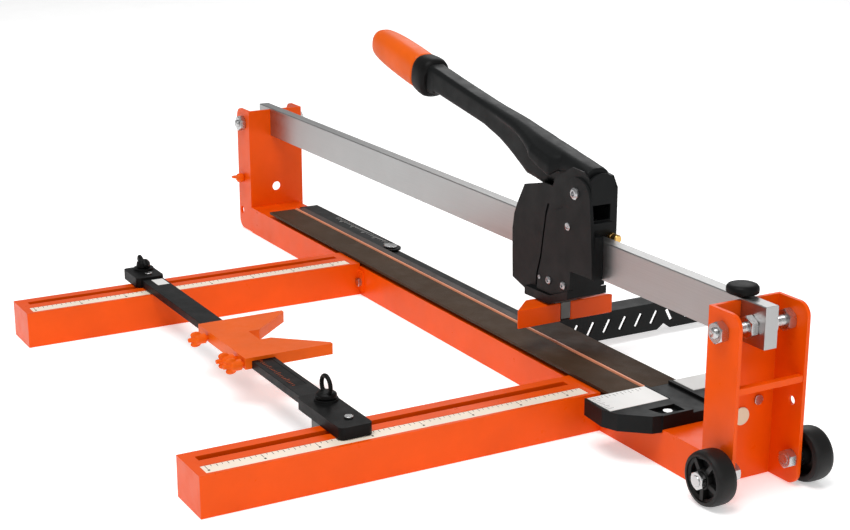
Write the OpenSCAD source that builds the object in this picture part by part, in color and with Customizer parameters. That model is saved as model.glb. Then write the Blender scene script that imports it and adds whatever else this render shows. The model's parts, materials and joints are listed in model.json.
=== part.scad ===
// Manual rail tile cutter: sprung table, single guide rail, lever carriage and a front measuring frame.
// +X runs along the cutting line, +Y to the rear, +Z up. The origin is on the floor, under the cut line.

/* [Frame] */
// Clear length between the two end webs
web_gap = 948.5; // [900:1:1100]
// Outer height of the base beam
beam_h = 34; // [30:1:36]
// Thickness of the bracket sheet
sheet_t = 3.5; // [2.5:0.5:4]
// Overall height of an end bracket
bracket_h = 163; // [158:1:180]
// Outer width of an end bracket across its flanges
bracket_w = 75; // [72:1:80]
// Depth of a bracket flange, from the web's outer face
flange_d = 36; // [32:1:40]

/* [Rail] */
// Width of the guide rail
rail_w = 13.5; // [12:0.5:14]
// Height of the guide rail
rail_h = 37; // [34:1:38]
// Height of the underside of the guide rail
rail_z = 128.3; // [128:0.1:129]
// Length of the guide rail
rail_len = 1018; // [1010:1:1020]

/* [Table] */
// Height of the table surface above the floor
table_z = 41.3; // [40.5:0.1:42]
// Thickness of the table plates
table_t = 2.8; // [2:0.1:3]

/* [Front frame] */
// Width of a front arm
arm_w = 52; // [46:1:56]
// Height of a front arm
arm_h = 37.7; // [36:0.1:37.7]
// Distance from the cut line to the front end of an arm
arm_reach = 430; // [420:1:470]
// Centre of the left arm along the cut line
arm_left_x = -184.3; // [-200:0.1:-170]
// Centre of the right arm along the cut line
arm_right_x = 300.8; // [295:0.1:305]

/* [Carriage] */
// Place of the carriage's plunger along the rail
plunger_x = 204; // [150:1:230]
// Place of the lever pivot, measured from the plunger
pivot_dx = 48; // [47.5:0.1:48.2]
// Height of the lever pivot
pivot_z = 206.8; // [206.5:0.1:207.5]
// Radius of the scoring wheel
cutter_r = 9; // [8:0.25:9.25]

/* [Transport wheels] */
// Radius of a transport wheel
wheel_r = 24; // [20:0.5:24]
// Width of a transport wheel
wheel_w = 20; // [16:1:22]

/* [Hidden] */
$fn = 48;
run_gap = 0.05;
slide_gap = 0.3;
web_x = web_gap / 2;
web_out = web_x + sheet_t;
flange_y = bracket_w / 2;
beam_y0 = -flange_y;
beam_y1 = 31.5;
beam_wall = 3;
rail_top = rail_z + rail_h;
tie_x = web_out + 15;
tie_z = 145;
m10_r = 4.85;
axle_x = 505;
axle_z = wheel_r + 0.5;
wheel_y = 52;
table_x0 = -414;
table_x1 = 346;
ridge_top = table_z + 1;
swing_z0 = 7.5;
swing_z1 = 38.5;
swing_w = 25;
swing_len = 230;
swing_y = 25;
pivot_r = 4;
swing_left_x = -199.75;
swing_right_x = 122;
body_y = 16.5;
cheek_t = 3.5;
cheek_relief = 2.5;
cavity_y = 14;
cavity_z = 174;
wall_z1 = 205;
slab_z0 = 88;
slab_y = 22.5;
end_wall_x0 = 57;
end_wall_x1 = 60;
foot_z0 = 67.5;
foot_z1 = 87;
cutter_z = 73;
cutter_dx = -4;
holder_y = 5.5;
roller_r = 7.5;
roller_z = rail_top + roller_r;
roller_dx = [-36, 37.5];
axle_r = 3;
glide_dx = [-20, 33];
cheek_screw_at = [[7, 112], [32, 113]];
cheek_screw_r = 2.5;
cheek_rivet_at = [-10, 111];
cheek_rivet_r = 1.5;
side_y0 = 9.3;
side_y1 = 13.3;
head_z0 = 192;
crosshead_z = 200;
bolt_r = 5;
lever_y = 11;
boss_r = 8.7;
hood_y = 21;
lever_tilt = 11;
collar_at = [-262, 269.5];
collar_len = 26;
adjuster_y = 13;
adjuster_z = 164;
bar_x0 = -215;
bar_x1 = 243;
bar_y = -280;
bar_z0 = 38.5;
bar_z1 = 46.5;
stop_x = 56;
stop_z1 = 50.2;
knob_left_x = -222;
knob_right_x = 248;
spring_dx = 16.5;
spring_y = 11.8;
spring_z0 = 150;
arm_wall = 2.5;
arm_slot = 9;
arm_bolt_z = 17;
stop_screw_dx = [-36, 36, 54];
bumper_x = 471;
wing_x = -web_out - 22;
wing_z = 70;
head_z1 = 47;
plate_t = 0.8;
head_screw_x = 409;
head_screw_z = head_z1 - 4;
table_spring_x = [-380, -140, 80, 310];

// A flat outline in X and Z, given thickness from y0 to y1.
module xz(y0, y1) {
    translate([0, y1, 0])
        rotate([90, 0, 0])
            linear_extrude(y1 - y0)
                children();
}

// A flat outline in Y and Z, given length from x0 to x1.
module yz(x0, x1) {
    translate([x0, 0, 0])
        rotate([90, 0, 90])
            linear_extrude(x1 - x0)
                children();
}

// A flat outline in X and Y, given height from z0 to z1.
module xy(z0, z1) {
    translate([0, 0, z0])
        linear_extrude(z1 - z0)
            children();
}

// A box between two corners.
module box(a, b) {
    translate(a)
        cube(b - a);
}

// A cylinder along Y from y0 to y1, centred at x, z.
module rod_y(x, z, y0, y1, r) {
    translate([x, y1, z])
        rotate([90, 0, 0])
            cylinder(h = y1 - y0, r = r);
}

// A cylinder along X from x0 to x1, centred at y, z.
module rod_x(y, z, x0, x1, r) {
    translate([x0, y, z])
        rotate([0, 90, 0])
            cylinder(h = x1 - x0, r = r);
}

// A cylinder along Z from z0 to z1, centred at x, y.
module rod_z(x, y, z0, z1, r) {
    translate([x, y, z0])
        cylinder(h = z1 - z0, r = r);
}

// A hexagon nut along Y with its bore.
module nut_y(x, z, y0, y1, across, bore_r) {
    difference() {
        translate([x, y1, z])
            rotate([90, 0, 0])
                cylinder(h = y1 - y0, r = across / sqrt(3), $fn = 6);
        rod_y(x, z, y0 - 1, y1 + 1, bore_r);
    }
}

// A rectangle with rounded corners.
module round_rect(x0, y0, x1, y1, r) {
    translate([x0 + r, y0])
        square([x1 - x0 - 2 * r, y1 - y0]);
    translate([x0, y0 + r])
        square([x1 - x0, y1 - y0 - 2 * r]);
    for (x = [x0 + r, x1 - r])
        for (y = [y0 + r, y1 - r])
            translate([x, y])
                circle(r);
}

// A coil spring from z0 to z1, of wire radius w, made as one closed tube of short straight lengths.
module coil(x, y, z0, z1, r, w, turns) {
    steps = 12;
    sides = 6;
    count = turns * steps;
    rise = (z1 - z0 - 2 * w) / count;
    points = [for (i = [0 : count]) for (j = [0 : sides - 1])
        let (a = i * 360 / steps, b = j * 360 / sides, q = r + w * cos(b))
        [q * cos(a), q * sin(a), w + i * rise + w * sin(b)]];
    skin = [for (i = [0 : count - 1]) for (j = [0 : sides - 1]) for (half = [0, 1])
        let (k = (j + 1) % sides, p = i * sides, q = (i + 1) * sides)
        half == 0 ? [p + j, q + j, q + k] : [p + j, q + k, p + k]];
    start = [[for (j = [0 : sides - 1]) j]];
    finish = [[for (j = [sides - 1 : -1 : 0]) count * sides + j]];
    translate([x, y, z0])
        polyhedron(points = points, faces = concat(skin, start, finish));
}

// ---------- frame ----------

module base_beam() {
    color("orangered")
        difference() {
            box([-web_x, beam_y0, 0], [web_x, beam_y1, beam_h]);
            box([-web_x - 1, beam_y0 + beam_wall, beam_wall],
                [web_x + 1, beam_y1 - beam_wall, beam_h - beam_wall]);
            for (x = table_spring_x)
                rod_z(x, -20, beam_h - beam_wall - 1, beam_h + 1, 8);
            for (x = [swing_left_x, swing_right_x])
                rod_z(x, swing_y, beam_h - beam_wall - 1, beam_h + 1, pivot_r + run_gap);
        }
}

// The right-hand bracket: a web with two flanges pointing away from the beam.
module bracket() {
    corner = 12;
    far = web_out + flange_d;
    difference() {
        union() {
            box([web_x, -flange_y, 1], [web_out, flange_y, bracket_h]);
            for (s = [-1, 1])
                xz(min(s * flange_y, s * (flange_y - sheet_t)), max(s * flange_y, s * (flange_y - sheet_t)))
                    difference() {
                        translate([web_x, 1])
                            square([far - web_x, bracket_h - 1]);
                        for (z = [1, bracket_h])
                            translate([far, z])
                                difference() {
                                    square(2 * corner, center = true);
                                    translate([-corner, z == 1 ? corner : -corner])
                                        circle(corner);
                                }
                    }
        }
        box([web_x - 1, -rail_w / 2, rail_z], [web_out + 1, rail_w / 2, bracket_h + 1]);
        rod_y(tie_x, tie_z, -flange_y - 1, flange_y + 1, 5.2);
        rod_y(axle_x, axle_z, -flange_y - 1, flange_y + 1, 5.2);
        rod_y(tie_x + 8, 75, flange_y - sheet_t - 1, flange_y + 1, 4);
        rod_x(0, 59.3, web_x - 1, web_out + 1, 6);
    }
}

module left_bracket() {
    color("orangered")
        difference() {
            mirror([1, 0, 0])
                bracket();
            rod_y(wing_x, wing_z, -flange_y - 1, -flange_y + sheet_t + 1, 3.05);
        }
}

module right_bracket() {
    color("orangered")
        difference() {
            bracket();
            rod_x(17.6, 71.2, web_x - 1, web_out + 1, 2.5);
        }
}

module guide_rail() {
    edge = 0.8;
    color("silver")
        difference() {
            yz(-rail_len / 2, rail_len / 2)
                translate([-rail_w / 2, rail_z])
                    polygon([[0, 0], [rail_w, 0], [rail_w, rail_h - edge], [rail_w - edge, rail_h],
                        [edge, rail_h], [0, rail_h - edge]]);
            for (x = [-tie_x, tie_x])
                rod_y(x, tie_z, -rail_w, rail_w, m10_r);
        }
}

// A rubber stop on top of the rail that keeps the carriage off the right web.
module rail_bumper() {
    neck_z = rail_top + 1.7;
    color([0.1, 0.1, 0.1]) {
        rod_z(bumper_x, 0, rail_top, neck_z, 6.5);
        rod_z(bumper_x, 0, neck_z, neck_z + 8.3, 14);
    }
}

module bracket_wing_screw() {
    head_y = -flange_y - slide_gap;
    color("darkorange") {
        rod_y(wing_x, wing_z, head_y - 8, -flange_y + sheet_t + 4, 3);
        rod_y(wing_x, wing_z, head_y - 8, head_y, 6);
        box([wing_x - 13, head_y - 13, wing_z - 2], [wing_x + 13, head_y - 2, wing_z + 2]);
    }
}

module tie_rods() {
    color("silver")
        for (x = [-tie_x, tie_x])
            rod_y(x, tie_z, -48, 48, m10_r);
}

module tie_rod_nuts() {
    color("silver")
        for (x = [-tie_x, tie_x])
            for (s = [-1, 1]) {
                nut_y(x, tie_z, min(s * flange_y, s * (flange_y + 8)), max(s * flange_y, s * (flange_y + 8)),
                    17, m10_r);
                nut_y(x, tie_z, min(s * 26, s * (flange_y - sheet_t)), max(s * 26, s * (flange_y - sheet_t)),
                    17, m10_r);
                nut_y(x, tie_z, min(s * rail_w / 2, s * 14.5), max(s * rail_w / 2, s * 14.5), 17, m10_r);
            }
}

module carry_bar() {
    inner = flange_y - sheet_t;
    color("orangered")
        box([web_out + flange_d - 6.5, -inner, 95], [web_out + flange_d - 0.5, inner, 101]);
}

module carry_bars() {
    carry_bar();
    mirror([1, 0, 0])
        carry_bar();
}

module web_plug() {
    color("ivory") {
        rod_x(0, 59.3, web_x, web_out, 6);
        rod_x(0, 59.3, web_out, web_out + 1.5, 8);
    }
}

// ---------- table ----------

module breaking_ridge() {
    color("salmon")
        yz(table_x0, 350)
            polygon([[-2.4, beam_h], [2.4, beam_h], [2.4, 38], [1, ridge_top], [-1, ridge_top], [-2.4, 38]]);
}

module table_front() {
    color([0.18, 0.17, 0.16]) {
        box([table_x0, -37.5, table_z - table_t], [table_x1, -2.8, table_z]);
        for (x = table_spring_x)
            rod_z(x, -20, 30, table_z - table_t, 3);
    }
}

module table_springs() {
    color("silver")
        for (x = table_spring_x)
            coil(x, -20, 20, table_z - table_t, 5, 0.8, 4);
}

module spring_cups() {
    color("gray")
        for (x = table_spring_x)
            difference() {
                rod_z(x, -20, 18, beam_h, 8);
                rod_z(x, -20, 20, beam_h + 1, 6.6);
            }
}

module table_rear_strip() {
    color([0.25, 0.2, 0.18])
        box([table_x0, 2.8, beam_h], [135, 12, table_z]);
}

module table_rear_plate() {
    color([0.18, 0.17, 0.16]) {
        box([138, 2.8, table_z - table_t], [table_x1, 38, table_z]);
        box([138, 2.8, beam_h], [table_x1, 30, table_z - table_t]);
    }
}

module swing_bed() {
    color([0.15, 0.15, 0.15])
        difference() {
            box([table_x0, 12.5, beam_h], [135, beam_y1, beam_h + 1.5]);
            for (x = [swing_left_x, swing_right_x])
                rod_z(x, swing_y, beam_h - 1, beam_h + 3, pivot_r + run_gap);
        }
}

// ---------- end head ----------

// The black head at the right end: a wing to the front, a smaller one to the rear and scale recesses.
module end_head() {
    left = 352;
    color([0.14, 0.14, 0.14])
        difference() {
            union() {
                xy(beam_h, head_z1)
                    polygon([[left, -38], [left, 32], [388, 32], [388, beam_y1], [421, beam_y1], [421, -38]]);
                xy(31, head_z1)
                    polygon([[left, beam_y0 - 0.1], [left, -73], [383, -76], [398, -70], [414, -52], [418, -47],
                        [420, beam_y0 - 0.1]]);
                xy(31, head_z1)
                    polygon([[left, beam_y1 + 0.1], [left, 72], [376, 72], [388, 60], [388, beam_y1 + 0.1]]);
            }
            box([left - 1, -5, 44], [422, 20, head_z1 + 1]);
            box([left - 1, -72, head_z1 - plate_t], [390, -7, head_z1 + 1]);
            box([left - 1, 24, head_z1 - plate_t], [384, 68, head_z1 + 1]);
            xy(head_screw_z, head_z1 + 1)
                polygon([[402, -40], [402, -12], [418, -12], [416, -36]]);
            rod_z(head_screw_x, -24, beam_h - 1, head_z1, 2.5);
            rod_z(head_screw_x, 26, beam_h - 1, head_z1 + 1, 2.5);
        }
}

module head_scale_plates() {
    color("white") {
        box([353, -71, head_z1 - plate_t], [389, -8, head_z1 - 0.1]);
        box([353, 25, head_z1 - plate_t], [383, 67, head_z1 - 0.1]);
    }
}

// The screw of the right web, the two screws of the end head and the four bolts of the arm tabs.
module frame_screws() {
    shank = 2.5;
    head = 4.5;
    color("silver") {
        rod_x(17.6, 71.2, web_x - 2, web_out, shank);
        rod_x(17.6, 71.2, web_out, web_out + 2, head);
        rod_z(head_screw_x, -24, beam_h, head_screw_z, shank);
        rod_z(head_screw_x, -24, head_screw_z, head_screw_z + 2.5, head);
        rod_z(head_screw_x, 26, beam_h, head_z1, shank);
        rod_z(head_screw_x, 26, head_z1, head_z1 + 2, head);
        for (cx = [arm_left_x, arm_right_x])
            for (s = [-1, 1]) {
                x = cx + s * (arm_w / 2 + 5.5);
                rod_y(x, arm_bolt_z, beam_y0 - 3, beam_y0, 3);
                translate([x, beam_y0 - 3, arm_bolt_z])
                    rotate([90, 0, 0])
                        cylinder(h = 4, r = 5.2, $fn = 6);
            }
    }
}

// ---------- front arms ----------

module arm(cx) {
    half = arm_w / 2;
    tab = 11;
    difference() {
        union() {
            box([cx - half, -arm_reach, 0], [cx + half, beam_y0, arm_h]);
            box([cx - half - tab, beam_y0 - 3, 6], [cx + half + tab, beam_y0, 30]);
        }
        box([cx - half + arm_wall, -arm_reach + arm_wall, arm_wall],
            [cx + half - arm_wall, beam_y0 - 3, arm_h - 6]);
        box([cx - 10 - arm_slot / 2, -arm_reach + 12, arm_h - 7],
            [cx - 10 + arm_slot / 2, beam_y0 - 14, arm_h + 1]);
        box([cx + 6, -arm_reach + 8, arm_h - 1.2], [cx + half - 4, beam_y0 - 10, arm_h + 1]);
        for (s = [-1, 1])
            rod_y(cx + s * (half + tab / 2), arm_bolt_z, beam_y0 - 4, beam_y0 + 1, 3.05);
    }
}

module arm_left() {
    color("orangered")
        arm(arm_left_x);
}

module arm_right() {
    color("orangered")
        arm(arm_right_x);
}

module arm_scale_tapes() {
    color("wheat")
        for (cx = [arm_left_x, arm_right_x])
            box([cx + 6.2, -arm_reach + 8.2, arm_h - 1.2], [cx + arm_w / 2 - 4.2, beam_y0 - 10.2, arm_h - 0.4]);
}

// ---------- crossbar and angle stop ----------

module crossbar() {
    color([0.14, 0.14, 0.14])
        difference() {
            box([bar_x0, bar_y - 12, bar_z0], [bar_x1, bar_y + 12, bar_z1]);
            box([115, bar_y - 7, bar_z1 - 0.8], [196, bar_y + 7, bar_z1 + 1]);
        }
}

module crossbar_scale() {
    color("dimgray")
        box([115.2, bar_y - 6.8, bar_z1 - 0.8], [195.8, bar_y + 6.8, bar_z1 - 0.2]);
}

// The end block of the crossbar from x0 to x1, which lies over an arm and carries a clamp knob.
module clamp_block(x0, x1, knob_x) {
    top = bar_z1 + 2.5;
    difference() {
        union() {
            xy(arm_h + 0.4, top)
                round_rect(x0, bar_y - 18, x1, bar_y + 14, 5);
            rod_z(knob_x, bar_y + 2, top - 1, top + 2, 11);
        }
        box([bar_x0, bar_y - 12, bar_z0], [bar_x1, bar_y + 12, bar_z1]);
        rod_z(knob_x, bar_y + 2, 30, top + 6, 4.1);
    }
}

module clamp_block_left() {
    color([0.14, 0.14, 0.14])
        clamp_block(-234, -188, knob_left_x);
}

module clamp_block_right() {
    color([0.14, 0.14, 0.14])
        clamp_block(228, 316, knob_right_x);
}

module clamp_shoes() {
    color("gray")
        difference() {
            union() {
                box([knob_left_x - 11, bar_y - 8, 14],
                    [arm_left_x - arm_w / 2 - slide_gap, bar_y + 10, 37]);
                box([knob_right_x - 11, bar_y - 8, 14],
                    [arm_right_x - arm_w / 2 - slide_gap, bar_y + 10, 37]);
            }
            for (x = [knob_left_x, knob_right_x])
                rod_z(x, bar_y + 2, 16, 38, 4.1);
        }
}

module clamp_screws() {
    color("silver")
        for (x = [-200, 296])
            rod_z(x, bar_y, bar_z1 + 2.5, bar_z1 + 4.5, 4);
}

module clamp_knob_left() {
    z = bar_z1 + 4.8;
    color([0.1, 0.1, 0.1]) {
        rod_z(knob_left_x, bar_y + 2, 18, z + 8, 4);
        rod_z(knob_left_x, bar_y + 2, z, z + 8, 8);
        box([knob_left_x - 17, bar_y - 1, z + 2], [knob_left_x + 17, bar_y + 5, z + 12]);
    }
}

module clamp_knob_right() {
    z = bar_z1 + 4.8;
    color([0.1, 0.1, 0.1]) {
        rod_z(knob_right_x, bar_y + 2, 18, z + 6, 4);
        rod_z(knob_right_x, bar_y + 2, z, z + 6, 10);
        translate([knob_right_x, bar_y + 2, z + 11.2])
            rotate([90, 0, 0])
                rotate_extrude()
                    translate([9, 0])
                        circle(2.2, $fn = 24);
    }
}

module angle_stop() {
    half = 60;
    back = -207;
    front = -299;
    root = 14;
    color("darkorange")
        translate([stop_x, 0, 0])
            difference() {
                xy(39, stop_z1)
                    polygon([[-half, front], [half, front], [half, back], [half - 5, back],
                        [root, -252], [root, -264], [-root, -264], [-root, -252], [-half + 5, back],
                        [-half, back]]);
                box([-half - 1, bar_y - 12 - slide_gap, 30],
                    [half + 1, bar_y + 12 + slide_gap, bar_z1 + slide_gap]);
                for (x = stop_screw_dx)
                    rod_y(x, 43, -300, -290, 2.55);
            }
}

// A wing screw that presses on the front face of the crossbar.
module stop_screw(x) {
    color("darkorange") {
        rod_y(x, 43, -320, -293, 2.5);
        rod_y(x, 43, -312, -301, 5.5);
        box([x - 2.5, -318, 34.7], [x + 2.5, -306, 51.3]);
    }
}

module stop_screw_1() {
    stop_screw(stop_x + stop_screw_dx[0]);
}

module stop_screw_2() {
    stop_screw(stop_x + stop_screw_dx[1]);
}

module stop_screw_3() {
    stop_screw(stop_x + stop_screw_dx[2]);
}

// ---------- swing arms ----------

// A swing arm in its open position, with its pivot at x, y = 0 and its reach along +Y.
module swing_arm() {
    t = 2.5;
    half = swing_w / 2;
    slots = [for (i = [0 : 8]) 40 + i * 20.5];
    difference() {
        union() {
            xy(swing_z1 - t, swing_z1)
                union() {
                    translate([-half, 0])
                        square([swing_w, swing_len]);
                    circle(half);
                }
            box([half - t, 8, swing_z0], [half, swing_len, swing_z1]);
        }
        rod_z(0, 0, 30, 45, pivot_r + run_gap);
        for (y = slots)
            translate([half, y, 22.3])
                rotate([y < 150 ? -28 : 28, 0, 0])
                    cube([10, 4, 15], center = true);
        yz(half - t - 1, half + 1)
            polygon([[146, swing_z0 - 1], [166, swing_z0 - 1], [156, swing_z0 + 6]]);
    }
}

module swing_arm_left() {
    color([0.14, 0.14, 0.14])
        translate([swing_left_x, swing_y, 0])
            rotate([0, 0, 90])
                swing_arm();
}

module swing_arm_right() {
    color([0.14, 0.14, 0.14])
        translate([swing_right_x, swing_y, 0])
            swing_arm();
}

module swing_pivots() {
    color("silver")
        for (x = [swing_left_x, swing_right_x]) {
            rod_z(x, swing_y, beam_h - beam_wall, swing_z1 + 0.3, pivot_r);
            rod_z(x, swing_y, swing_z1 + 0.3, swing_z1 + 2.6, 8);
        }
}

// ---------- carriage ----------

// The carriage, plunger and lever are drawn from the plunger's axis, which this puts in its place.
module at_plunger() {
    translate([plunger_x, 0, 0])
        children();
}

// The block round the rail, before its pockets are cut.
module carriage_block() {
    xz(-body_y, body_y)
        polygon([[-32, slab_z0], [12, 89.5], [43, 102.5], [43, 129], [end_wall_x1, 129], [end_wall_x1, 190],
            [22, 190], [12, wall_z1], [-10, wall_z1], [-44.6, 196.5], [-56.2, 176.6], [-62.6, 163],
            [-65.5, 147], [-65, 120], [-64, 97], [-38, 90]]);
    xz(-slab_y, slab_y)
        polygon([[-32, slab_z0], [12, 89.5], [43, 102.5], [43, 110.7], [12, 98], [-32, 97]]);
    box([43, -body_y, 129], [77, -rail_w / 2 - slide_gap, 170]);
    yz(end_wall_x0, end_wall_x1)
        polygon([[-body_y, 129], [body_y, 129], [body_y, 216], [14.3, 220.5], [11.7, 223], [7, 225],
            [2, 225.8], [-4, 224.6], [-8, 222.6], [-11.4, 220], [-body_y, 213]]);
    box([end_wall_x1, -13, 173], [end_wall_x1 + 4, 13, 179.5]);
}

module carriage_body() {
    color([0.12, 0.12, 0.12])
        at_plunger()
            difference() {
                carriage_block();
                box([-80, -rail_w / 2 - slide_gap, rail_z - slide_gap],
                    [90, rail_w / 2 + slide_gap, rail_top + slide_gap]);
                box([-80, -cavity_y, cavity_z], [end_wall_x0, cavity_y, 230]);
                box([end_wall_x0 - 1, -10, 181], [end_wall_x1 + 1, 12, 196]);
                box([-7.8, -side_y1 - slide_gap, slab_z0 - 1], [7.8, side_y1 + slide_gap, 95]);
                for (s = [-1, 1]) {
                    box([-7.8, min(s * (side_y0 - slide_gap), s * (side_y1 + slide_gap)), slab_z0 - 1],
                        [7.8, max(s * (side_y0 - slide_gap), s * (side_y1 + slide_gap)), cavity_z + 1]);
                    rod_z(spring_dx, s * spring_y, spring_z0, wall_z1 + 1, 3.3);
                    for (p = cheek_screw_at)
                        rod_y(p[0], p[1], min(s * 14.1, s * 18), max(s * 14.1, s * 18), cheek_screw_r);
                }
                for (x = roller_dx)
                    rod_y(x, roller_z, -8, 8, roller_r + 0.8);
                rod_y(roller_dx[0], roller_z, -14.5, body_y + 1, axle_r);
                rod_y(roller_dx[1], roller_z, -body_y - 1, body_y + 1, axle_r);
                xz(-body_y - 1, 1.5 - body_y)
                    polygon([[-3, 186], [0.2, 186], [-3.2, 177], [-11.2, 131], [-17.2, 112], [-18.2, 100],
                        [-21.4, 100], [-20.4, 112], [-14.4, 131], [-6.4, 177]]);
                for (x = glide_dx)
                    box([x - 9, -6, rail_z - 5], [x + 9, 6, rail_z]);
                rod_x(adjuster_y, adjuster_z, 46, end_wall_x1 + 1, cheek_screw_r);
            }
}

// The holes that both cheeks share.
module cheek_holes() {
    reach = body_y + cheek_t + 1;
    rod_y(pivot_dx, pivot_z, -reach, reach, bolt_r);
    rod_y(roller_dx[1], roller_z, -reach, reach, axle_r);
    for (p = cheek_screw_at)
        rod_y(p[0], p[1], -reach, reach, cheek_screw_r);
    rod_y(cheek_rivet_at[0], cheek_rivet_at[1], -reach, reach, cheek_rivet_r);
}

module cheek_front() {
    face = -body_y - cheek_t;
    step = face + cheek_relief;
    color([0.1, 0.1, 0.1])
        at_plunger()
            difference() {
                union() {
                    xz(step, -body_y)
                        polygon([[39, 230], [10, 214], [5, 200], [1, 177], [-7, 131], [-13, 112], [-14, 98],
                            [12, 98.6], [43, 111.2], [43, 130], [78.5, 131], [77.4, 151], [74.5, 183],
                            [69.5, 217], [66, 224], [58, 229]]);
                    xz(face, step) {
                        polygon([[29.3, 200.8], [28.6, 188.4], [9.6, 182], [1, 177], [-7, 131], [-13, 112],
                            [-14, 98], [12, 98.6], [43, 111.2], [43, 130], [78.5, 131], [77.4, 151],
                            [74.5, 183], [72.3, 200.8]]);
                        translate([50.8, 200.8])
                            circle(21.5);
                    }
                }
                cheek_holes();
            }
}

module cheek_rear() {
    color([0.1, 0.1, 0.1])
        at_plunger()
            difference() {
                xz(body_y, body_y + cheek_t)
                    polygon([[36, 223], [10, 212], [5, 200], [1, 177], [-7, 131], [-13, 112], [-14, 98],
                        [12, 98.6], [43, 111.2], [43, 129], [end_wall_x1, 129], [end_wall_x1, 211],
                        [53, 221]]);
                cheek_holes();
            }
}

// A round fastener through one cheek. s is the side, depth its reach into the block.
module cheek_fastener(at, s, depth, r, head_r, head_t) {
    a = s * (body_y - depth);
    b = s * (body_y + cheek_t);
    c = s * (body_y + cheek_t + head_t);
    rod_y(at[0], at[1], min(a, b), max(a, b), r);
    rod_y(at[0], at[1], min(b, c), max(b, c), head_r);
}

module cheek_screws() {
    color([0.2, 0.2, 0.2])
        at_plunger()
            for (s = [-1, 1]) {
                for (p = cheek_screw_at)
                    cheek_fastener(p, s, 2.4, cheek_screw_r, 4, 2);
                cheek_fastener(cheek_rivet_at, s, 0, cheek_rivet_r, 2, 0.8);
            }
}

module roller_axles() {
    color("silver")
        at_plunger() {
            rod_y(roller_dx[0], roller_z, -14.5, body_y, axle_r);
            rod_y(roller_dx[1], roller_z, -body_y, body_y, axle_r);
            for (s = [-1, 1])
                cheek_fastener([roller_dx[1], roller_z], s, 0, axle_r, 4, 1.5);
        }
}

module roller(x) {
    color("silver")
        at_plunger()
            difference() {
                rod_y(x, roller_z, -6.5, 6.5, roller_r - 0.05);
                rod_y(x, roller_z, -8, 8, axle_r + run_gap);
            }
}

module roller_left() {
    roller(roller_dx[0]);
}

module roller_right() {
    roller(roller_dx[1]);
}

// Low-friction pads that bear on the underside of the rail.
module lower_glides() {
    color("ivory")
        at_plunger()
            for (x = glide_dx)
                box([x - 9, -6, rail_z - 5], [x + 9, 6, rail_z - 0.1]);
}

module adjuster_screw() {
    color("goldenrod")
        at_plunger() {
            rod_x(adjuster_y, adjuster_z, 46, end_wall_x1, cheek_screw_r);
            rod_x(adjuster_y, adjuster_z, end_wall_x1, end_wall_x1 + 13, 4.6);
        }
}

// Two side bars with a crosshead under the lever's nose and a foot bar under the carriage.
module plunger() {
    half = 7.5;
    color("gray")
        at_plunger() {
            difference() {
                box([-half, -side_y1, head_z0], [spring_dx + 5, side_y1, crosshead_z]);
                box([half + 0.1, -7, head_z0 - 1], [spring_dx + 6, 7, crosshead_z + 1]);
            }
            for (s = [-1, 1])
                box([-half, min(s * side_y0, s * side_y1), foot_z1],
                    [half, max(s * side_y0, s * side_y1), head_z0]);
            box([-half, -side_y1, foot_z1], [half, side_y1, 94]);
        }
}

module return_springs() {
    color("silver")
        at_plunger()
            for (s = [-1, 1])
                coil(spring_dx, s * spring_y, spring_z0, head_z0, 2.3, 0.7, 6);
}

// The grey block in the middle of the foot. Its slot for the wheel is open at the back and below.
module cutter_holder() {
    back = -11;
    front = 8;
    color("gray")
        at_plunger()
            difference() {
                xz(-holder_y, holder_y)
                    polygon([[back, foot_z1], [front, foot_z1], [front, 70], [front - 2, 68],
                        [back + 2, 68], [back, 70]]);
                box([back - 1, -1.5, 50], [front - 2.5, 1.5, 83.5]);
                rod_y(cutter_dx, cutter_z, -6, 6, 2);
            }
}

module cutter_wheel() {
    bevel = 1.5;
    color("silver")
        translate([plunger_x + cutter_dx, 0, cutter_z])
            rotate([90, 0, 0])
                difference() {
                    rotate_extrude()
                        polygon([[0, -1.2], [cutter_r - bevel, -1.2], [cutter_r, 0],
                            [cutter_r - bevel, 1.2], [0, 1.2]]);
                    cylinder(h = 5, r = 2 + run_gap, center = true);
                }
}

module cutter_pin() {
    color("silver")
        rod_y(plunger_x + cutter_dx, cutter_z, -holder_y, holder_y, 2);
}

// The pressure foot: two wings joined behind the cutter holder, with a slot for the wheel.
module breaker_foot() {
    wide = 56;
    narrow = 31;
    back = -17;
    color("darkorange")
        at_plunger()
            difference() {
                xy(foot_z0, foot_z1)
                    polygon([[back, -narrow], [8, -wide], [8, -holder_y], [-11, -holder_y], [-11, holder_y],
                        [8, holder_y], [8, wide], [back, narrow]]);
                box([-13.6, -1.8, foot_z0 - 1], [0, 1.8, foot_z1 + 1]);
            }
}

// ---------- lever ----------

// The lever's arm, boss, nose and neck, seen from the side.
module lever_arm() {
    xz(-lever_y, lever_y)
        polygon([[-232, 281.5], [-141, 265], [-83, 254.5], [-46, 245.7], [0, 237.5], [45.75, 229.5],
            [56, 227], [56, 210], [pivot_dx, pivot_z], [40, 206], [-12, 206], [-18, 199], [-39, 203],
            [-54, 204.5], [-61, 208.5], [-78, 218], [-105, 230], [-134, 238.5], [-178, 245.5],
            [-230, 254.6]]);
    rod_y(pivot_dx, pivot_z, -lever_y, lever_y, boss_r);
    rod_y(0, crosshead_z + 6.3, -6, 6, 6);
    on_lever()
        xy(-collar_len / 2 - 12, -collar_len / 2)
            round_rect(-13.5, -lever_y, 16.5, lever_y, 6);
}

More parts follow.
